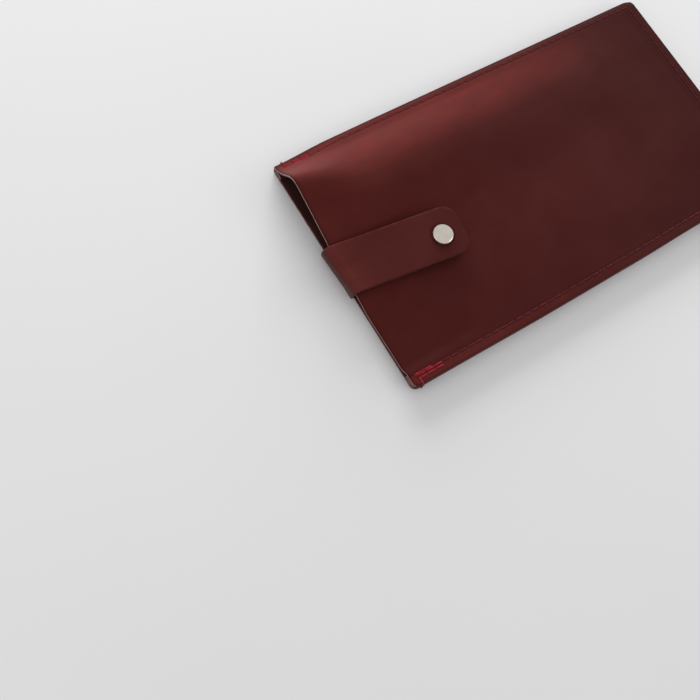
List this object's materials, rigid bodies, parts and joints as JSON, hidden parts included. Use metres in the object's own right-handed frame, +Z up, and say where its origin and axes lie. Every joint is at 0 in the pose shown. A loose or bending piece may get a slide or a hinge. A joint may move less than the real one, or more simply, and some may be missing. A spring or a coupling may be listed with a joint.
{
  "type": "knife blade guard",
  "caption": "Flat stitched leather sheath for a broad kitchen knife, open at one end, with a strap that folds over the mouth to a snap button.",
  "frame": {"origin": "centre of the back panel's outer face, on which the guard rests", "axes": "+X from the open mouth to the closed toe, +Y from the cutting-edge side to the spine side, +Z up out of the front panel"},
  "size_m": [0.1971, 0.1096, 0.0156],
  "materials": {
    "panel_leather": "smooth oxblood leather, low sheen",
    "welt_leather": "oxblood leather with pale cut edges",
    "seam_thread": "waxed dark red thread",
    "tack_thread": "waxed crimson thread",
    "nickel_plate": "polished nickel plate",
    "spring_wire": "drawn spring wire"
  },
  "bodies": {
    "root": {"back_panel": "panel_leather", "front_panel": "panel_leather", "spine_welt": "welt_leather", "edge_welt": "welt_leather", "toe_welt": "welt_leather", "spine_seam_thread": "seam_thread", "edge_seam_thread": "seam_thread", "toe_seam_thread": "seam_thread", "spine_bar_tack": "tack_thread", "edge_bar_tack": "tack_thread", "snap_stud": "nickel_plate", "snap_post": "nickel_plate"},
    "strap_fold": {"strap_bend": "panel_leather"},
    "strap": {"strap_tongue": "panel_leather", "snap_cap": "nickel_plate", "snap_socket": "nickel_plate", "snap_spring": "spring_wire"}
  },
  "joints": [
    {"name": "strap_lift", "type": "hinge", "parent": "strap_fold", "child": "strap", "pos_m": [-0.0978, 0, 0.00825], "axis": [0, -1, 0], "range_deg": [0, 85]},
    {"name": "fold_open", "type": "hinge", "parent": "root", "child": "strap_fold", "pos_m": [-0.0978, 0, 0.0023], "axis": [0, -1, 0], "range_deg": [0, 85]}
  ],
  "couplings": [
    {"joint": "fold_open", "follows": "strap_lift", "ratio": 1}
  ]
}
